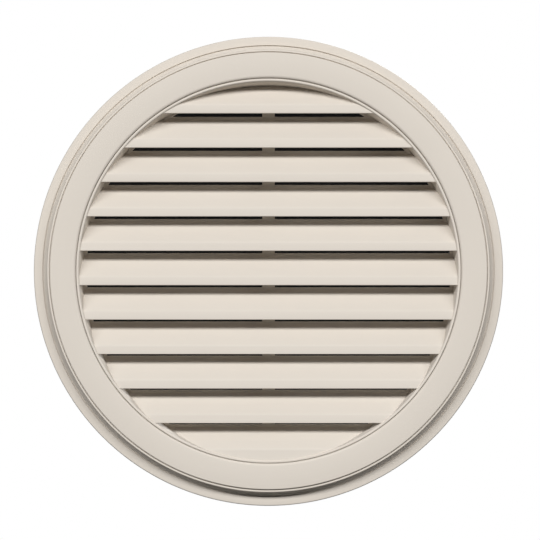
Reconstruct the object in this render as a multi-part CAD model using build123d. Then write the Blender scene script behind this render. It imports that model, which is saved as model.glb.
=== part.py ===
from build123d import *
from math import radians, sqrt, tan
import os

# Round gable vent, in millimetres: X to the right, Y into the wall, Z up, front towards -Y.
# The origin is on the vent's axis, in the plane of the wall that the flange lies on.

# One overrun serves all cuts, and one bite sinks a moulded feature into the wall that carries it.
overrun = 5.0
bite = 1.0

# Louvre panel: the collar that frames the opening
opening_diameter = 449.6
rim_width = 3.2
rim_ease = 1.2
throat_draft_angle = 7.0
neck_inset = 3.2
collar_depth = 38.0
collar_wall = 3.0

# Louvre panel: the wall flange and its screw holes
flange_thickness = 2.5
flange_margin = 12.3
flange_edge_ease = 0.8
screw_hole_diameter = 4.8
screw_hole_offset = 24.5
screw_hole_count = 8

# Louvre panel: the blades
blade_pitch = 40.8
lowest_edge_rise = 3.3
blade_thickness = 2.5
blade_depth = 26.0
lip_height = 10.5
lip_lean_angle = 5.0
lip_setback = 1.5
lip_edge_round = 0.8
crease_round = 4.0
sight_gap = 1.6
upstand_height = 3.0

# Louvre panel: the centre mullion and the web behind each blade
mullion_width = 15.0
web_thickness = 3.0

# Louvre panel: the ledge that the screen lies on and the lugs that hold it there
ledge_width = 4.0
ledge_thickness = 3.5
lug_count = 8
lug_arc_angle = 2.5
lug_lap = 2.4
lug_length = 4.0
lug_clearance = 0.1

# Trim ring: its section, from the opening outwards
ring_gap = 0.6
face_width = 30.2
face_step = 2.0
face_inner_ease = 2.8
groove_width = 1.2
groove_depth = 1.5
bead_width = 2.1
bead_height = 14.0
knee_height = 4.5
upper_skirt_run = 0.9
lower_skirt_run = 4.1
ring_wall = 2.5
return_depth = 8.5

# Trim ring: the ribs inside it, and the fingers that snap behind the collar's catches
rib_count = 12
rib_thickness = 1.8
rib_depth = 8.0
finger_count = 8
finger_arc_angle = 9.0
finger_foot_gap = 2.0
hook_length = 2.5
hook_grip = 0.9
catch_ramp = 3.2
snap_clearance = 0.2

# Insect screen: a coarse grid for the fine weave, with level strands in front and upright ones behind
screen_edge_gap = 0.6
strand_pitch = 60.0
strand_width = 7.0
strand_thickness = 0.45
strand_lap = 0.1

# Radii that follow from the widths above
opening_radius = opening_diameter / 2
rim_outer_radius = opening_radius + rim_width
collar_radius = rim_outer_radius - neck_inset
collar_bore_radius = collar_radius - collar_wall
ring_inner_radius = rim_outer_radius + ring_gap
face_outer_radius = ring_inner_radius + face_width
groove_radius = face_outer_radius + groove_width
bead_outer_radius = groove_radius + bead_width
knee_radius = bead_outer_radius + upper_skirt_run
skirt_foot_radius = knee_radius + lower_skirt_run
flange_radius = skirt_foot_radius + flange_margin
screw_circle_radius = collar_radius + screw_hole_offset

# Depths along Y that follow from the heights above
foot_y = -flange_thickness
knee_y = foot_y - knee_height
bead_y = foot_y - bead_height
groove_y = bead_y + groove_depth
face_y = bead_y - face_step
rim_y = bead_y
lip_y = rim_y + lip_setback
upstand_y = lip_y + blade_depth
seat_y = upstand_y + blade_thickness
ledge_y = seat_y - ledge_thickness
screen_thickness = 2 * strand_thickness - strand_lap
lug_y = seat_y + screen_thickness + lug_clearance
ring_return_y = face_y + return_depth
finger_tip_y = foot_y - finger_foot_gap
hook_y = finger_tip_y - hook_length
catch_y = hook_y - snap_clearance


def throat_radius(y):
    """Radius of the drafted opening at a depth."""
    return opening_radius - (y - rim_y) * tan(radians(throat_draft_angle))


def neck_radius(y):
    """Radius of the collar's outside in front of the flange, at a depth."""
    return collar_radius + neck_inset * (foot_y - y) / (foot_y - rim_y)


def offset_chain(points, distance):
    """The chain of points moved to its right, with its ends still cut level with the old ones."""
    points = [Vector(*point) for point in points]
    runs = [(end - start).normalized() for start, end in zip(points, points[1:])]
    normals = [Vector(run.Y, -run.X) for run in runs]
    moved = []
    for index, point in enumerate(points):
        before = normals[max(index - 1, 0)]
        after = normals[min(index, len(normals) - 1)]
        shift = (before + after) * (distance / (1 + before.dot(after)))
        if index in (0, len(points) - 1):
            run = runs[min(index, len(runs) - 1)]
            shift = shift - run * (shift.Y / run.Y)
        moved.append(point + shift)
    return [(point.X, point.Y) for point in moved]


def outline_face(points, corners=(), finish=fillet):
    """Face inside a closed outline, with a round or a chamfer of its own at each corner that is named."""
    face = make_face(Polyline(*points, close=True))
    for corner, length in corners:
        face = finish(face.vertices().sort_by_distance(Vector(*corner))[0], length)
    return face


def spun(points, eased=(), arc=360):
    """Solid turned about the vent's axis from an outline in radius and depth, with chamfered corners."""
    return revolve(outline_face(points, eased, chamfer), Axis.Y, arc)


def around(solid, count, first_angle=0):
    """Copies of a solid spread evenly about the vent's axis."""
    return [Rot(0, first_angle + 360 * index / count, 0) * solid for index in range(count)]


def along_y(radius, start_y, end_y):
    """Round bar on the vent's axis between two depths."""
    return spun([(0, start_y), (radius, start_y), (radius, end_y), (0, end_y)])


def spun_sector(points, arc):
    """Part of a turn of an outline, centred on the +X side."""
    return Rot(0, -arc / 2, 0) * spun(points, arc=arc)


# The section of the trim ring's outer side, from the foot of its skirt to the end of its return wall
ring_chain = [
    (skirt_foot_radius, foot_y),
    (knee_radius, knee_y),
    (bead_outer_radius, bead_y),
    (face_outer_radius, bead_y),
    (face_outer_radius, face_y),
    (ring_inner_radius, face_y),
    (ring_inner_radius, ring_return_y),
]

# The section of a blade's front side, from its lip's lower edge to the top of its upstand
lip_lean = lip_height * tan(radians(lip_lean_angle))
blade_top = blade_pitch - sight_gap
blade_chain = [
    (0, 0),
    (lip_lean, lip_height),
    (blade_depth, blade_top - upstand_height),
    (blade_depth, blade_top),
]


def collar_and_flange():
    """The collar with its eased front rim, the wall flange and the screen's ledge."""
    rim_inner = (opening_radius, rim_y)
    rim_outer = (rim_outer_radius, rim_y)
    ledge_radius = throat_radius(ledge_y) - ledge_width
    outline = [
        rim_inner,
        rim_outer,
        (collar_radius, foot_y),
        (flange_radius - flange_edge_ease, foot_y),
        (flange_radius, 0),
        (collar_radius, 0),
        (collar_radius, collar_depth),
        (collar_bore_radius, collar_depth),
        (collar_bore_radius, seat_y),
        (ledge_radius, seat_y),
        (ledge_radius, ledge_y),
        (throat_radius(ledge_y), ledge_y),
    ]
    body = spun(outline, [(rim_inner, rim_ease), (rim_outer, rim_ease)])
    hole = Pos(screw_circle_radius, 0, 0) * along_y(screw_hole_diameter / 2, -overrun, overrun)
    return body - around(hole, screw_hole_count, 180 / screw_hole_count)


def blade(drop=0):
    """One blade with the web behind it. A drop draws its lip further down."""
    lip_edge = (-drop * tan(radians(lip_lean_angle)), -drop)
    chain = [lip_edge] + blade_chain[1:]
    skin = chain + offset_chain(chain, blade_thickness)[::-1]
    section = outline_face(skin, [(lip_edge, lip_edge_round), (chain[1], crease_round)])
    middle = offset_chain(chain, blade_thickness / 2)
    web_section = outline_face([middle[1], middle[2], (middle[2][0], middle[1][1])])
    web = extrude(Plane.YZ * web_section, web_thickness / 2, both=True)
    return extrude(Plane.YZ * section, opening_radius, both=True) + web


def blades_and_mullion():
    """All the blades, the lowest one drawn down into the collar, and the mullion that ties their upstands."""
    edge_z = lowest_edge_rise - opening_radius
    louvres = [Pos(0, lip_y, edge_z) * blade(lowest_edge_rise + 2 * bite)]
    upper_blade = blade()
    edge_z += blade_pitch
    while edge_z + lip_height < opening_radius:
        louvres.append(Pos(0, lip_y, edge_z) * upper_blade)
        edge_z += blade_pitch
    mullion = Pos(0, (upstand_y + seat_y) / 2, 0) * Box(mullion_width, blade_thickness, opening_diameter)
    bore = spun(
        [
            (0, rim_y),
            (throat_radius(rim_y) + bite, rim_y),
            (throat_radius(seat_y) + bite, seat_y),
            (throat_radius(seat_y) + bite, seat_y + overrun),
            (0, seat_y + overrun),
        ]
    )
    print("blades", len(louvres))
    return [piece & bore for piece in louvres + [mullion]]


def lugs():
    """The ramped lugs on the collar's bore that the screen is pushed past."""
    ramp = [
        (collar_bore_radius + bite, lug_y),
        (collar_bore_radius - lug_lap, lug_y),
        (collar_bore_radius, lug_y + lug_length),
        (collar_bore_radius + bite, lug_y + lug_length),
    ]
    return around(spun_sector(ramp, lug_arc_angle), lug_count, 180 / lug_count)


def catches():
    """The ramps on the collar that the trim ring's fingers snap behind."""
    start_y = catch_y - catch_ramp
    ramp = [
        (neck_radius(start_y) - bite, start_y),
        (neck_radius(start_y), start_y),
        (rim_outer_radius, catch_y),
        (neck_radius(catch_y) - bite, catch_y),
    ]
    return around(spun_sector(ramp, finger_arc_angle), finger_count)


def louvre_panel():
    """The one-piece moulding: collar, flange, blades, mullion, lugs and catches."""
    return collar_and_flange() + blades_and_mullion() + lugs() + catches()


def trim_ring():
    """The hollow ring that snaps over the collar, with its groove, ribs and fingers."""
    skin = ring_chain + offset_chain(ring_chain, ring_wall)[::-1]
    ring = spun(skin, [((ring_inner_radius, face_y), face_inner_ease)])

    _, knee, bead, step, top, corner, _ = offset_chain(ring_chain, ring_wall / 2)
    rib_y = face_y + rib_depth
    knee_share = (rib_y - bead[1]) / (knee[1] - bead[1])
    skirt_point = (bead[0] + (knee[0] - bead[0]) * knee_share, rib_y)
    rib_face = outline_face([skirt_point, bead, step, top, corner, (corner[0], rib_y)])
    rib = extrude(rib_face, rib_thickness / 2, both=True)

    finger = [
        (ring_inner_radius, ring_return_y - bite),
        (ring_inner_radius + ring_wall, ring_return_y - bite),
        (ring_inner_radius + ring_wall, finger_tip_y),
        (rim_outer_radius, finger_tip_y),
        (rim_outer_radius - hook_grip, hook_y + hook_length / 2),
        (rim_outer_radius - hook_grip, hook_y),
        (ring_inner_radius, hook_y),
    ]
    fingers = around(spun_sector(finger, finger_arc_angle), finger_count)
    groove = along_y(groove_radius, bead_y - overrun, groove_y)
    groove -= along_y(face_outer_radius, bead_y - overrun, groove_y)
    return ring + around(rib, rib_count, 180 / rib_count) + fingers - groove


def insect_screen():
    """The round of screen: level and upright strands, cut to a disc and fused where they cross."""
    radius = collar_bore_radius - screen_edge_gap
    back_y = seat_y + screen_thickness
    disc = along_y(radius, seat_y, back_y)
    level = Pos(0, seat_y + strand_thickness / 2, 0) * Box(2 * radius, strand_thickness, strand_width)
    upright = Pos(0, back_y - strand_thickness / 2, 0) * Box(strand_width, strand_thickness, 2 * radius)
    half_count = int(radius / strand_pitch)
    strands = []
    for index in range(-half_count, half_count):
        place = strand_pitch * (index + 1 / 2)
        strands.append(Pos(0, 0, place) * level & disc)
        strands.append(Pos(place, 0, 0) * upright & disc)
    print("strands", len(strands))
    return strands[0] + strands[1:]


nodes = {
    "louvre_panel": louvre_panel(),
    "trim_ring": trim_ring(),
    "insect_screen": insect_screen(),
}
os.makedirs("parts", exist_ok=True)
for name, solid in nodes.items():
    export_step(solid, f"parts/{name}.step")
    size = solid.bounding_box().size
    print(name, len(solid.solids()), "solid", round(size.X, 1), round(size.Y, 1), round(size.Z, 1))
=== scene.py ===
# %% [markdown]
# # A round gable vent
# A gable vent sits high in an end wall and lets the roof space breathe. This one is moulded in plastic: a
# louvre panel with a wall flange and a collar, a trim ring that snaps over the collar and hides the screws,
# and an insect screen behind the blades. The imported CAD model is the frame that everything here is built
# on, so it is loaded first, and its boxes give the sizes below.

# %% Load the frame
import bpy
import bmesh
from math import cos, pi, radians, sin, sqrt, tan
from mathutils import Matrix, Vector


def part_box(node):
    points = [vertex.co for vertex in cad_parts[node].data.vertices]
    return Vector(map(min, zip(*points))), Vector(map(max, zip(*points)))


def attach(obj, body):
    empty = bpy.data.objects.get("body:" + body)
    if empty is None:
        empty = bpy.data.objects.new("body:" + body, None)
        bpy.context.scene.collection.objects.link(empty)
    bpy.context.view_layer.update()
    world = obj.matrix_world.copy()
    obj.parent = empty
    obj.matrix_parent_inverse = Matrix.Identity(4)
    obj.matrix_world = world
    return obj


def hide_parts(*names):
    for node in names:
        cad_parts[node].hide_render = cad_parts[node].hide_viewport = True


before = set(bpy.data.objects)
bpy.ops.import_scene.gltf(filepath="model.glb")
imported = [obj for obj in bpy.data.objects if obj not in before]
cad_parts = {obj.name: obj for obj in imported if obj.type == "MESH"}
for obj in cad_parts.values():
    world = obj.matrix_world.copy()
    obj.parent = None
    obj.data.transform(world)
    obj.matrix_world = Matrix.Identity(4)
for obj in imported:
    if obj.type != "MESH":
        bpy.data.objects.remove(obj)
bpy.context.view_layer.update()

# %% [markdown]
# ## Sizes
# Every length of the vent is in millimetres, as on the maker's drawing, and one factor turns it into
# Blender's metres. Only the floor, the lamps and the camera are placed in metres. What the frame can say is
# read from it: the flange's edge, the ring's face and foot, and the screen's place. X is to the right, Y
# goes into the wall and Z is up, so a depth is a Y value, and the front has negative depths.

# %% Sizes that the frame gives
mm = 0.001
cm = 10 * mm
panel_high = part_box("louvre_panel")[1]
ring_low, ring_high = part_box("trim_ring")
screen_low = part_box("insect_screen")[0]
flange_radius = panel_high.x / mm
collar_end = panel_high.y / mm
skirt_radius = ring_high.x / mm
face_depth = ring_low.y / mm
flange_front = ring_high.y / mm
screen_front = screen_low.y / mm
print("flange", round(flange_radius, 2), "skirt", round(skirt_radius, 2), "face at", round(face_depth, 2))

# %% [markdown]
# ## A turned profile
# The collar, the flange and the ring are all round, so each is a profile that is turned about the vent's
# axis. The profile starts as one flat face, because a vertex bevel on a flat face rounds its corners
# exactly as a fillet on a drawing does. A modifier such as Screw could turn it too, but spin leaves a plain
# mesh that the next step can cut.

# %% Profile and spin
turn_steps = 288
round_segments = 5
middle = (0, 0, 0)


def rounded_outline(corners, place):
    """A flat face from corners of two numbers, each with the length by which its corner is rounded."""
    shape = bmesh.new()
    points = [shape.verts.new(place(first * mm, second * mm)) for first, second, ease in corners]
    shape.faces.new(points)
    for point, (first, second, ease) in zip(points, corners):
        if ease:
            bmesh.ops.bevel(shape, geom=[point], offset=ease * mm, offset_type="OFFSET", affect="VERTICES",
                            segments=round_segments, profile=0.5, material=-1)
    return shape


def radius_and_depth(radius, depth):
    """Where a corner of a turned profile lies before its turn."""
    return (radius, depth, 0)


def depth_and_height(depth, height):
    """Where a corner of a drawn section lies on the middle plane."""
    return (0, depth, height)


def close_up(shape):
    """Merges the seam of a turned or joined shape and points its faces outwards."""
    bmesh.ops.remove_doubles(shape, verts=shape.verts[:], dist=1e-6)
    bmesh.ops.recalc_face_normals(shape, faces=shape.faces[:])
    return shape


def turned(corners):
    """A full turn of a profile of radius and depth about the vent's axis."""
    shape = rounded_outline(corners, radius_and_depth)
    bmesh.ops.delete(shape, geom=shape.faces[:], context="FACES_ONLY")
    bmesh.ops.spin(shape, geom=shape.verts[:] + shape.edges[:], cent=middle, axis=(0, 1, 0),
                   angle=2 * pi, steps=turn_steps, use_merge=True)
    return close_up(shape)


def to_object(name, shape):
    """A bmesh becomes an object at the origin, with its place in its mesh."""
    mesh = bpy.data.meshes.new(name)
    shape.to_mesh(mesh)
    shape.free()
    piece = bpy.data.objects.new(name, mesh)
    bpy.context.scene.collection.objects.link(piece)
    return piece


print("a full turn has", turn_steps, "steps")

# %% [markdown]
# ## Joining shapes of one moulding
# Blades, collar and flange come out of the mould as one piece. Overlapping shells would look the same, but
# their hidden walls would stay in the mesh. A Boolean with the manifold solver joins them into one closed
# skin instead.

# %% Join, cut and smooth
crisp_degrees = 33


def carve(piece, other, operation):
    """Joins, cuts or trims a piece with another one, which is then removed."""
    step = piece.modifiers.new(operation, "BOOLEAN")
    step.operation = operation
    step.solver = "MANIFOLD"
    step.object = other
    ready = piece.evaluated_get(bpy.context.evaluated_depsgraph_get())
    mesh = bpy.data.meshes.new_from_object(ready)
    piece.modifiers.clear()
    before = piece.data
    piece.data = mesh
    bpy.data.meshes.remove(before)
    bpy.data.objects.remove(other)


def smooth(piece):
    """Smooth shading over rounds, with a crisp line where two faces meet at more than an angle."""
    piece.data.shade_smooth()
    piece.data.set_sharp_from_angle(angle=radians(crisp_degrees))


def describe(piece):
    """Prints how heavy a mesh is, and whether its skin is closed."""
    shape = bmesh.new()
    shape.from_mesh(piece.data)
    open_edges = sum(1 for edge in shape.edges if not edge.is_manifold)
    volume = shape.calc_volume() / cm**3
    triangles = len(shape.calc_loop_triangles())
    shape.free()
    print(piece.name, triangles, "triangles,", open_edges, "open edges,", round(volume, 1), "cm3")


print("edges stay crisp past", crisp_degrees, "degrees")

# %% [markdown]
# ## Collar and wall flange
# The collar goes into the hole in the wall, and its front end frames the opening. Its throat leans inwards
# by seven degrees, so that the mould can draw off, and a small ledge at the throat's end carries the
# screen. The flange is the flat rim that lies on the wall, with a narrow groove around the place where the
# ring's foot stands. A tube and a flat ring could be joined for it, but one turned profile gives all of it
# with its rounds. Each row below is a corner, with its radius, its depth and how far it is rounded.

# %% Turn the collar
opening_radius = 224.8
rim_radius = 228.0
rim_depth = -16.5
collar_radius = 224.8
bore_radius = 221.8
ledge_radius = 217.55
ledge_front = 10.0
seat_depth = 13.5
groove_gap = 0.3
groove_width = 1.5
groove_sink = 2.0
groove_start = skirt_radius + groove_gap
groove_end = groove_start + groove_width
groove_floor = flange_front + groove_sink
flange_edge_lean = 0.8
throat_lean_degrees = 7
throat_slope = tan(radians(throat_lean_degrees))


def throat_radius(depth):
    """The radius of the leaning throat at a depth."""
    return opening_radius - (depth - rim_depth) * throat_slope


panel = to_object("panel_moulding", turned([
    (opening_radius, rim_depth, 1.3),
    (rim_radius, rim_depth, 1.2),
    (collar_radius, flange_front, 1.0),
    (groove_start, flange_front, 0.2),
    (groove_start, groove_floor, 0.2),
    (groove_end, groove_floor, 0.2),
    (groove_end, flange_front, 0.2),
    (flange_radius - flange_edge_lean, flange_front, 0.6),
    (flange_radius, 0, 0.3),
    (collar_radius, 0, 0.6),
    (collar_radius, collar_end, 0.5),
    (bore_radius, collar_end, 0.5),
    (bore_radius, seat_depth, 0),
    (ledge_radius, seat_depth, 0.4),
    (ledge_radius, ledge_front, 0.4),
    (throat_radius(ledge_front), ledge_front, 0.8),
]))
describe(panel)

# %% [markdown]
# ## Louvre blades
# A blade is a bent plate: a nearly upright lip that sheds the rain, a slope that rises to the back, and a
# short upstand that stops blown water. All the blades have the same section, drawn out sideways past the
# opening. An Array modifier could repeat it, but copies in one bmesh are a plain mesh that the next step
# can cut. The rows give its corners by depth behind the lip, height above the lip's edge, and rounding. The
# lowest lip is drawn further down, into the collar, so that no slot is left under it.

# %% Draw the blade section out sideways
blade_pitch = 40.8
lowest_edge_rise = 3.3
lowest_edge = lowest_edge_rise - opening_radius
blade_count = 11
lip_depth = -15.0
web_thickness = 3.0
blade_corners = [
    (0, 0, 0.8),
    (0.92, 10.5, 1.5),
    (26.0, 36.2, 0.8),
    (26.0, 38.8, 0.5),
    (28.5, 38.8, 0.5),
    (28.5, 35.18, 1.2),
    (3.33, 9.39, 0.6),
    (2.51, 0, 0.6),
]
lowest_foot = -5.3
lowest_corners = [(-0.46, lowest_foot, 0)] + blade_corners[1:-1] + [(2.05, lowest_foot, 0)]
web_corners = [(2.13, 9.95, 0), (27.25, 35.69, 0), (27.25, 9.95, 0)]


def new_points(made):
    """The vertices among what an operator made."""
    return [item for item in made["geom"] if isinstance(item, bmesh.types.BMVert)]


def thickened(shape, direction):
    """A flat face becomes a closed bar that reaches half of a direction to each side of it."""
    bmesh.ops.translate(shape, verts=shape.verts[:], vec=-direction / 2)
    grown = bmesh.ops.extrude_face_region(shape, geom=shape.faces[:])
    bmesh.ops.translate(shape, verts=new_points(grown), vec=direction)
    return close_up(shape)


def drawn_out(corners, width):
    """A section of depth and height, drawn out to both sides of the middle plane."""
    return thickened(rounded_outline(corners, depth_and_height), Vector((width * mm, 0, 0)))


def repeated(shape, steps):
    """The shape, and a copy of it at each further step."""
    first = shape.verts[:] + shape.edges[:] + shape.faces[:]
    for step in steps:
        copy = bmesh.ops.duplicate(shape, geom=first)
        bmesh.ops.translate(shape, verts=new_points(copy), vec=step)
    return shape


climb = [(0, 0, blade_pitch * index * mm) for index in range(1, blade_count)]
blades = to_object("blades", repeated(drawn_out(blade_corners, 2 * opening_radius), climb[:-1]))
lowest_blade = to_object("lowest_blade", drawn_out(lowest_corners, 2 * opening_radius))
webs = to_object("webs", repeated(drawn_out(web_corners, web_thickness), climb))
first_place = Vector((0, lip_depth * mm, lowest_edge * mm))
blades.data.transform(Matrix.Translation(first_place + Vector(climb[0])))
for part in (lowest_blade, webs):
    part.data.transform(Matrix.Translation(first_place))
carve(blades, lowest_blade, "UNION")
print(blade_count, "blades, the lowest edge at", round(lowest_edge, 1))

# %% [markdown]
# ## Mullion
# An upright bar ties the upstands together in the middle, and a thin web behind each blade braces it. From
# the front the bar shows as a small block in each dark gap. A stretched cube would do too, but the helper
# that drew the blades takes the bar's corners as they are.

# %% Tie the blades together
upstand_depth = 11.0
mullion_width = 15.0
mullion_corners = [
    (upstand_depth, -opening_radius, 0),
    (seat_depth, -opening_radius, 0),
    (seat_depth, opening_radius, 0),
    (upstand_depth, opening_radius, 0),
]
mullion = to_object("mullion", drawn_out(mullion_corners, mullion_width))
carve(blades, webs, "UNION")
carve(blades, mullion, "UNION")
describe(blades)

# %% [markdown]
# ## Blade ends
# In the mould the blades run straight into the collar's wall. Each could be cut to its own length, but one
# plug that leans as the throat does, and is a little wider, trims them all together. Their ends then lie
# inside the wall, and the join leaves no seam.

# %% Trim the blades to the bore and join them to the collar
plug_overrun = 3
plug_bite = 1
plug_shape = bmesh.new()
along_depth = Matrix.Rotation(pi / 2, 4, "X")
bmesh.ops.create_cone(
    plug_shape, cap_ends=True, segments=turn_steps,
    radius1=(throat_radius(seat_depth + plug_overrun) + plug_bite) * mm,
    radius2=(throat_radius(rim_depth - plug_overrun) + plug_bite) * mm,
    depth=(seat_depth - rim_depth + 2 * plug_overrun) * mm,
    matrix=Matrix.Translation((0, (seat_depth + rim_depth) / 2 * mm, 0)) @ along_depth,
)
plug = to_object("plug", plug_shape)
carve(blades, plug, "INTERSECT")
describe(blades)
carve(panel, blades, "UNION")
describe(panel)

# %% [markdown]
# ## Screw holes, lugs and catches
# Eight screw holes in the flange are covered by the ring. Eight ramped lugs in the bore hold the screen,
# and eight ramps on the collar hold the ring's fingers. A straight wedge would be simpler, but it wouldn't
# follow the round wall, so a ramp is a short turn of a small profile.

# %% Add the small features
def around(shape, count, first_angle):
    """The shape turned to its first place, and copies of it spread evenly about the vent's axis."""
    bmesh.ops.rotate(shape, verts=shape.verts[:], cent=middle, matrix=Matrix.Rotation(first_angle, 3, "Y"))
    first = shape.verts[:] + shape.edges[:] + shape.faces[:]
    for index in range(1, count):
        copy = bmesh.ops.duplicate(shape, geom=first)
        turn = Matrix.Rotation(2 * pi * index / count, 3, "Y")
        bmesh.ops.rotate(shape, verts=new_points(copy), cent=middle, matrix=turn)
    return shape


def short_turn(corners, arc, steps):
    """A closed shape from a profile that is turned through a small arc, centred on its start."""
    shape = rounded_outline([(radius, depth, 0) for radius, depth in corners], radius_and_depth)
    bmesh.ops.rotate(shape, verts=shape.verts[:], cent=middle, matrix=Matrix.Rotation(-arc / 2, 3, "Y"))
    bmesh.ops.spin(shape, geom=shape.verts[:] + shape.edges[:] + shape.faces[:], cent=middle, axis=(0, 1, 0),
                   angle=arc, steps=steps)
    return close_up(shape)


fixing_count = 8
half_space = pi / fixing_count
lug_arc = radians(2.5)
lug_steps = 3
finger_arc = radians(9)
finger_steps = 8
lug_corners = [(222.8, 14.4), (219.4, 14.4), (221.8, 18.4), (222.8, 18.4)]
catch_corners = [(225.6, -10.4), (226.6, -10.4), (228.0, -7.2), (224.87, -7.2)]
lugs = to_object("lugs", around(short_turn(lug_corners, lug_arc, lug_steps), fixing_count, half_space))
catches = to_object("catches", around(short_turn(catch_corners, finger_arc, finger_steps), fixing_count, 0))
carve(panel, lugs, "UNION")
carve(panel, catches, "UNION")

hole_radius = 2.4
hole_circle = 249.3
hole_depth = 12
hole_sides = 32
hole_shape = bmesh.new()
bmesh.ops.create_cone(
    hole_shape, cap_ends=True, segments=hole_sides, radius1=hole_radius * mm, radius2=hole_radius * mm,
    depth=hole_depth * mm, matrix=Matrix.Translation((hole_circle * mm, 0, 0)) @ along_depth,
)
holes = to_object("holes", around(hole_shape, fixing_count, half_space))
carve(panel, holes, "DIFFERENCE")
smooth(panel)
describe(panel)

# %% [markdown]
# ## Trim ring
# The ring is a thin shell that is open at the back: a flat face, a groove, a narrow bead, and a skirt that
# drops steeply and then runs out to the flange. A Solidify modifier could give it a wall, but the inside
# has steps of its own, so the profile is the outside, followed by about the same line one wall thickness
# further in.

# %% Turn the ring
bead_depth = -16.5
bead_radius = 262.1
bead_inside = 260.0
face_radius = 258.8
face_groove_floor = -14.6
knee_radius = 263.0
knee_depth = -7.0
return_radius = 228.25
return_end = -10.0
return_back = 231.1
ceiling = -16.0
pocket_radius = 256.3
pocket_floor = -13.6
pocket_end = 259.87
inner_knee_radius = 260.59
inner_knee_depth = -5.93
inner_foot_radius = 263.72
ring = to_object("snap_ring", turned([
    (skirt_radius, flange_front, 0.3),
    (knee_radius, knee_depth, 2.0),
    (bead_radius, bead_depth, 0.7),
    (bead_inside, bead_depth, 0.3),
    (bead_inside, face_groove_floor, 0),
    (face_radius, face_groove_floor, 0),
    (face_radius, face_depth, 0.9),
    (return_radius, face_depth, 3.2),
    (return_radius, return_end, 0.3),
    (return_back, return_end, 0.3),
    (return_back, ceiling, 0.6),
    (pocket_radius, ceiling, 0.4),
    (pocket_radius, pocket_floor, 0.6),
    (pocket_end, pocket_floor, 0.4),
    (inner_knee_radius, inner_knee_depth, 1.0),
    (inner_foot_radius, flange_front, 0),
]))
describe(ring)

# %% [markdown]
# ## Ribs and fingers
# Ribs brace the thin shell, and fingers with hooks snap behind the catches. A rib is a flat plate that
# stands along a radius, so its outline is only thickened. A finger follows the round, so it is a short
# turn. Both join the shell as the blades joined the collar.

# %% Join the ribs and fingers
rib_count = 12
rib_thickness = 1.8
rib_corners = [
    (261.4, -10.5, 0),
    (261.04, -14.0, 0),
    (257.0, -14.0, 0),
    (257.0, -17.25, 0),
    (229.85, -17.25, 0),
    (229.85, -10.5, 0),
]
finger_corners = [
    (228.6, -11.0),
    (231.1, -11.0),
    (231.1, -4.5),
    (228.0, -4.5),
    (227.1, -5.75),
    (227.1, -7.0),
    (228.6, -7.0),
]
rib_shape = thickened(rounded_outline(rib_corners, radius_and_depth), Vector((0, 0, rib_thickness * mm)))
ribs = to_object("ribs", around(rib_shape, rib_count, pi / rib_count))
fingers = to_object("fingers", around(short_turn(finger_corners, finger_arc, finger_steps), fixing_count, 0))
carve(ring, ribs, "UNION")
carve(ring, fingers, "UNION")
smooth(ring)
describe(ring)

# %% [markdown]
# ## Insect screen
# The real screen is woven from thin coated strands. The CAD node is a coarse stand-in, so here each strand
# is drawn, a little over a quarter of a millimetre thick: level ones in front and upright ones behind, sunk
# a little into each other where they cross. A picture of a weave on a disc would be lighter, but it would
# have no thickness from the side. Six flat sides are enough for such a strand.

# %% Lay the strands
strand_radius = 0.14
strand_sides = 6
level_pitch = 1.59
upright_pitch = 1.41
upright_depth_share = 2.8
screen_play = 0.8
screen_radius = bore_radius - screen_play


def strands(shape, pitch, depth, level):
    """Parallel strands across the round, each as long as the chord where it lies."""
    count = int((screen_radius - pitch) / pitch)
    for index in range(-count, count + 1):
        place = index * pitch
        length = 2 * sqrt(screen_radius**2 - place**2)
        lie = Matrix.Rotation(pi / 2, 4, "Y") if level else Matrix.Identity(4)
        spot = (0, depth * mm, place * mm) if level else (place * mm, depth * mm, 0)
        bmesh.ops.create_cone(shape, cap_ends=True, segments=strand_sides, radius1=strand_radius * mm,
                              radius2=strand_radius * mm, depth=length * mm,
                              matrix=Matrix.Translation(spot) @ lie)
    return 2 * count + 1


weave = bmesh.new()
level_count = strands(weave, level_pitch, screen_front + strand_radius, True)
upright_count = strands(weave, upright_pitch, screen_front + upright_depth_share * strand_radius, False)
screen = to_object("screen_mesh", weave)
describe(screen)
print(level_count, "level strands and", upright_count, "upright strands")

# %% [markdown]
# ## Moulded surface
# Moulded plastic is never one flat colour: its pigment clouds a little, and the mould's fine grain breaks
# up the gloss. Both materials here need that, so it is one node group with a colour, a roughness and a
# height to give out. The patterns read Object coordinates, which stay on the piece from every side.

# %% The moulded grain group
def new_group(name, inputs, outputs):
    """An empty node group with its sockets, and its two end nodes."""
    group = bpy.data.node_groups.new(name, "ShaderNodeTree")
    for label, kind, value in inputs:
        socket = group.interface.new_socket(name=label, in_out="INPUT", socket_type=kind)
        socket.default_value = value
    for label, kind in outputs:
        group.interface.new_socket(name=label, in_out="OUTPUT", socket_type=kind)
    return group, group.nodes.new("NodeGroupInput"), group.nodes.new("NodeGroupOutput")


grain, given, result = new_group(
    "moulded_grain",
    [("Colour", "NodeSocketColor", (0.7, 0.7, 0.7, 1)), ("Clouding", "NodeSocketFloat", 0.03),
     ("Grain Scale", "NodeSocketFloat", 1500.0), ("Dullness", "NodeSocketFloat", 0.45)],
    [("Colour", "NodeSocketColor"), ("Roughness", "NodeSocketFloat"), ("Height", "NodeSocketFloat")],
)
nodes, link = grain.nodes, grain.links.new
coordinates = nodes.new("ShaderNodeTexCoord")
cloud_scale = 14
cloud_detail = 5
fine_detail = 2
dullness_spread = 0.12
cloud = nodes.new("ShaderNodeTexNoise")
cloud.inputs["Scale"].default_value = cloud_scale
cloud.inputs["Detail"].default_value = cloud_detail
fine = nodes.new("ShaderNodeTexNoise")
fine.inputs["Detail"].default_value = fine_detail
link(coordinates.outputs["Object"], cloud.inputs["Vector"])
link(coordinates.outputs["Object"], fine.inputs["Vector"])
link(given.outputs["Grain Scale"], fine.inputs["Scale"])

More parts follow.
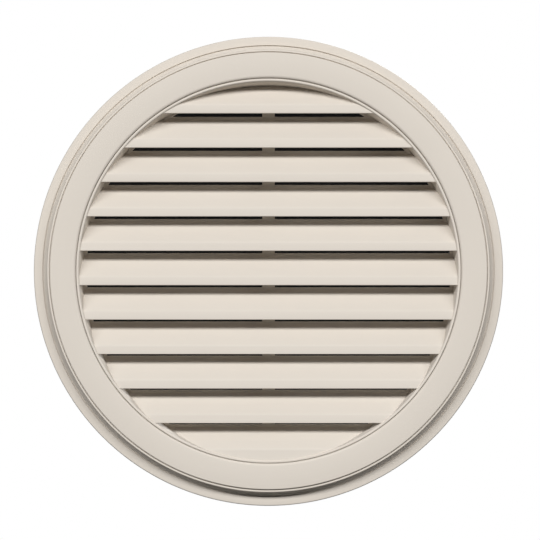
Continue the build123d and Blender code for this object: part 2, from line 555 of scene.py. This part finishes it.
tone = nodes.new("ShaderNodeMath")
tone.operation = "MULTIPLY_ADD"
link(cloud.outputs["Fac"], tone.inputs[0])
link(given.outputs["Clouding"], tone.inputs[1])
tone.inputs[2].default_value = 1.0
tint = nodes.new("ShaderNodeVectorMath")
tint.operation = "SCALE"
link(given.outputs["Colour"], tint.inputs[0])
link(tone.outputs[0], tint.inputs["Scale"])
link(tint.outputs[0], result.inputs["Colour"])

sheen = nodes.new("ShaderNodeMath")
sheen.operation = "MULTIPLY_ADD"
link(fine.outputs["Fac"], sheen.inputs[0])
sheen.inputs[1].default_value = dullness_spread
link(given.outputs["Dullness"], sheen.inputs[2])
link(sheen.outputs[0], result.inputs["Roughness"])
link(fine.outputs["Fac"], result.inputs["Height"])
print("group", grain.name, len(grain.nodes), "nodes")

# %% [markdown]
# ## The two finishes
# The panel and the ring are the same warm linen plastic, coloured right through, with a satin surface. The
# screen's strands are charcoal and matt. Values that are the same all over go straight onto the shader's
# own sockets.

# %% Linen plastic and charcoal strand
satin_shine = 0.2
grain_strength = 0.25


def moulded_material(name, colour, clouding, grain_scale, dullness, grain_height):
    """A plastic with the moulded grain, whose height is in millimetres."""
    material = bpy.data.materials.new(name)
    material.use_nodes = True
    tree = material.node_tree
    shader = tree.nodes["Principled BSDF"]
    shader.inputs["Specular IOR Level"].default_value = satin_shine
    surface = tree.nodes.new("ShaderNodeGroup")
    surface.node_tree = grain
    surface.inputs["Colour"].default_value = (*colour, 1)
    surface.inputs["Clouding"].default_value = clouding
    surface.inputs["Grain Scale"].default_value = grain_scale
    surface.inputs["Dullness"].default_value = dullness
    bump = tree.nodes.new("ShaderNodeBump")
    bump.inputs["Strength"].default_value = grain_strength
    bump.inputs["Distance"].default_value = grain_height * mm
    tree.links.new(surface.outputs["Colour"], shader.inputs["Base Color"])
    tree.links.new(surface.outputs["Roughness"], shader.inputs["Roughness"])
    tree.links.new(surface.outputs["Height"], bump.inputs["Height"])
    tree.links.new(bump.outputs["Normal"], shader.inputs["Normal"])
    return material


linen = moulded_material("linen_plastic", colour=(0.652, 0.597, 0.528), clouding=0.03, grain_scale=1500.0,
                         dullness=0.55, grain_height=0.03)
charcoal = moulded_material("charcoal_strand", colour=(0.022, 0.022, 0.024), clouding=0.4, grain_scale=900.0,
                            dullness=0.5, grain_height=0.02)
for piece, node, slot, material in (
    (panel, "louvre_panel", "linen_plastic", linen),
    (ring, "trim_ring", "linen_plastic", linen),
    (screen, "insect_screen", "screen_mesh", charcoal),
):
    piece.data.materials.clear()
    piece.data.materials.append(material)
    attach(piece, "root")
    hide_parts(node)
    print(piece.name, "stands for", node)

# %% [markdown]
# ## Studio
# The vent is shown on white. A bright world would give that too, but it would also fill the shadows under
# the lips. So the world is plain white only to the camera and to what shines or lets light through, and
# gives the rest a little cool fill.

# %% World
def shown_directly(tree):
    """A value of 1 for rays from the camera, a gloss or a clear piece, and 0 for other light."""
    path = tree.nodes.new("ShaderNodeLightPath")
    seen = tree.nodes.new("ShaderNodeMath")
    seen.operation = "MAXIMUM"
    also_seen = tree.nodes.new("ShaderNodeMath")
    also_seen.operation = "MAXIMUM"
    tree.links.new(path.outputs["Is Camera Ray"], seen.inputs[0])
    tree.links.new(path.outputs["Is Glossy Ray"], seen.inputs[1])
    tree.links.new(seen.outputs[0], also_seen.inputs[0])
    tree.links.new(path.outputs["Is Transmission Ray"], also_seen.inputs[1])
    return also_seen.outputs[0]


def mixed(tree, share, first, second, surface):
    """Two shaders, mixed by a share and led to a surface."""
    mix = tree.nodes.new("ShaderNodeMixShader")
    tree.links.new(share, mix.inputs["Fac"])
    tree.links.new(first.outputs[0], mix.inputs[1])
    tree.links.new(second.outputs[0], mix.inputs[2])
    tree.links.new(mix.outputs[0], surface)


world = bpy.data.worlds.new("studio")
bpy.context.scene.world = world
world.use_nodes = True
sky = world.node_tree
sky.nodes.clear()
white = sky.nodes.new("ShaderNodeBackground")
white.inputs["Strength"].default_value = 1.0
white.inputs["Color"].default_value = (1, 1, 1, 1)
fill = sky.nodes.new("ShaderNodeBackground")
fill.inputs["Color"].default_value = (0.8, 0.95, 1.2, 1)
fill.inputs["Strength"].default_value = 0.025
sky_end = sky.nodes.new("ShaderNodeOutputWorld")
mixed(sky, shown_directly(sky), fill, white, sky_end.inputs["Surface"])
print("world fill", round(fill.inputs["Strength"].default_value, 3))

# %% [markdown]
# ## Floor
# A pale floor lies just below the picture's edge. It is one flat face, pale to the camera, and dark to the
# light that would bounce from it to the vent, because the shadows in the picture are deep.

# %% Lay the floor
floor_half_size = (2.5, 1.35, 1)
floor_place = (0, -0.2, -0.46)
floor_shape = bmesh.new()
bmesh.ops.create_grid(floor_shape, x_segments=1, y_segments=1, size=1.0)
bmesh.ops.scale(floor_shape, verts=floor_shape.verts[:], vec=floor_half_size)
bmesh.ops.translate(floor_shape, verts=floor_shape.verts[:], vec=floor_place)
floor = to_object("floor", floor_shape)
floor_paint = bpy.data.materials.new("pale_floor")
floor_paint.use_nodes = True
floor_tree = floor_paint.node_tree
floor_pale = floor_tree.nodes["Principled BSDF"]
floor_pale.inputs["Base Color"].default_value = (0.86, 0.86, 0.86, 1)
floor_pale.inputs["Roughness"].default_value = 0.9
floor_pale.inputs["Emission Color"].default_value = (1, 1, 1, 1)
floor_pale.inputs["Emission Strength"].default_value = 0.4
floor_dark = floor_tree.nodes.new("ShaderNodeBsdfDiffuse")
floor_dark.inputs["Color"].default_value = (0.06, 0.06, 0.06, 1)
floor_end = floor_tree.nodes["Material Output"].inputs["Surface"]
mixed(floor_tree, shown_directly(floor_tree), floor_dark, floor_pale, floor_end)
floor.data.materials.append(floor_paint)
print("floor at", floor_place[2], "metres")

# %% [markdown]
# ## Black card of painted shade
# The roof space behind a vent is dark, and the slots show it. A closed box behind the vent would do, but it
# would hide the back. So a black card of painted shade stands inside the collar's back, in place of the
# unlit space behind. Only a camera in front sees it: from behind it is clear, and the lamps shine through
# it.

# %% Stand the card in the collar
card_edge_gap = 1.5
card_inset = 2
card_sides = 96
card_radius = bore_radius - card_edge_gap
card_place = Matrix.Translation((0, (collar_end - card_inset) * mm, 0))
card_shape = bmesh.new()
bmesh.ops.create_circle(card_shape, cap_ends=True, segments=card_sides, radius=card_radius * mm,
                        matrix=card_place @ along_depth)
card_shape.faces.ensure_lookup_table()
card_shape.normal_update()
if card_shape.faces[0].normal.y > 0:
    bmesh.ops.reverse_faces(card_shape, faces=card_shape.faces[:])
card = to_object("painted_shade_card", card_shape)
card_paint = bpy.data.materials.new("painted_shade_card")
card_paint.use_nodes = True
card_tree = card_paint.node_tree
card_tree.nodes.clear()
card_path = card_tree.nodes.new("ShaderNodeLightPath")
card_side = card_tree.nodes.new("ShaderNodeNewGeometry")
card_front = card_tree.nodes.new("ShaderNodeMath")
card_front.operation = "SUBTRACT"
card_front.use_clamp = True
card_tree.links.new(card_path.outputs["Is Camera Ray"], card_front.inputs[0])
card_tree.links.new(card_side.outputs["Backfacing"], card_front.inputs[1])
card_clear = card_tree.nodes.new("ShaderNodeBsdfTransparent")
# The card's near-black emission is painted shade: it stands in for the unlit roof space seen through the
# slots.
card_painted_shade = card_tree.nodes.new("ShaderNodeEmission")
card_painted_shade.inputs["Color"].default_value = (0.004, 0.004, 0.004, 1)
card_end = card_tree.nodes.new("ShaderNodeOutputMaterial")
mixed(card_tree, card_front.outputs[0], card_clear, card_painted_shade, card_end.inputs["Surface"])
card.data.materials.append(card_paint)
print("stage:", floor.name, card.name)

# %% [markdown]
# ## Lamps
# A long soft box hangs in front of the vent and above it, and faces mostly down, so its light falls on the
# blades at a slant and throws a soft shadow under each lip. A sun lamp would be simpler, but its shadows
# would be hard. A second, weaker one lights the back, for views from behind.

# %% Hang the lamps
def soft_box(name, place, aim, width, height, power):
    """A flat lamp that faces along its aim."""
    lamp = bpy.data.lights.new(name, "AREA")
    lamp.shape = "RECTANGLE"
    lamp.size = width
    lamp.size_y = height
    lamp.energy = power
    holder = bpy.data.objects.new(name, lamp)
    holder.location = place
    holder.rotation_euler = Vector(aim).to_track_quat("-Z", "Y").to_euler()
    bpy.context.scene.collection.objects.link(holder)


key_tilt = radians(65)
soft_box("key", (-0.4, -4.5, 2.36), (0, cos(key_tilt), -sin(key_tilt)), width=11.0, height=1.3, power=590)
soft_box("back", (0.8, 2.0, 1.2), (-0.8, -2.0, -1.2), width=0.9, height=0.9, power=40)
print("lamps", [light.name for light in bpy.data.lights])

# %% [markdown]
# ## Camera
# The picture was taken from a little below the middle, which is why the slots above the upper blades look
# taller than those above the lower ones. A long lens from about three metres keeps the round truly round.

# %% Place the camera
camera_place = Vector((0.0018, -2.9, -0.067))
camera_target = Vector((0.0018, 0, 0.0009))
lens = bpy.data.cameras.new("camera")
lens.sensor_width = 36
lens.lens = 162.4
viewer = bpy.data.objects.new("camera", lens)
viewer.location = camera_place
sight = camera_target - camera_place
viewer.rotation_euler = sight.to_track_quat("-Z", "Y").to_euler()
bpy.context.scene.collection.objects.link(viewer)
bpy.context.scene.camera = viewer
bpy.context.scene.view_settings.view_transform = "Standard"
print("camera", [round(value, 3) for value in viewer.location])
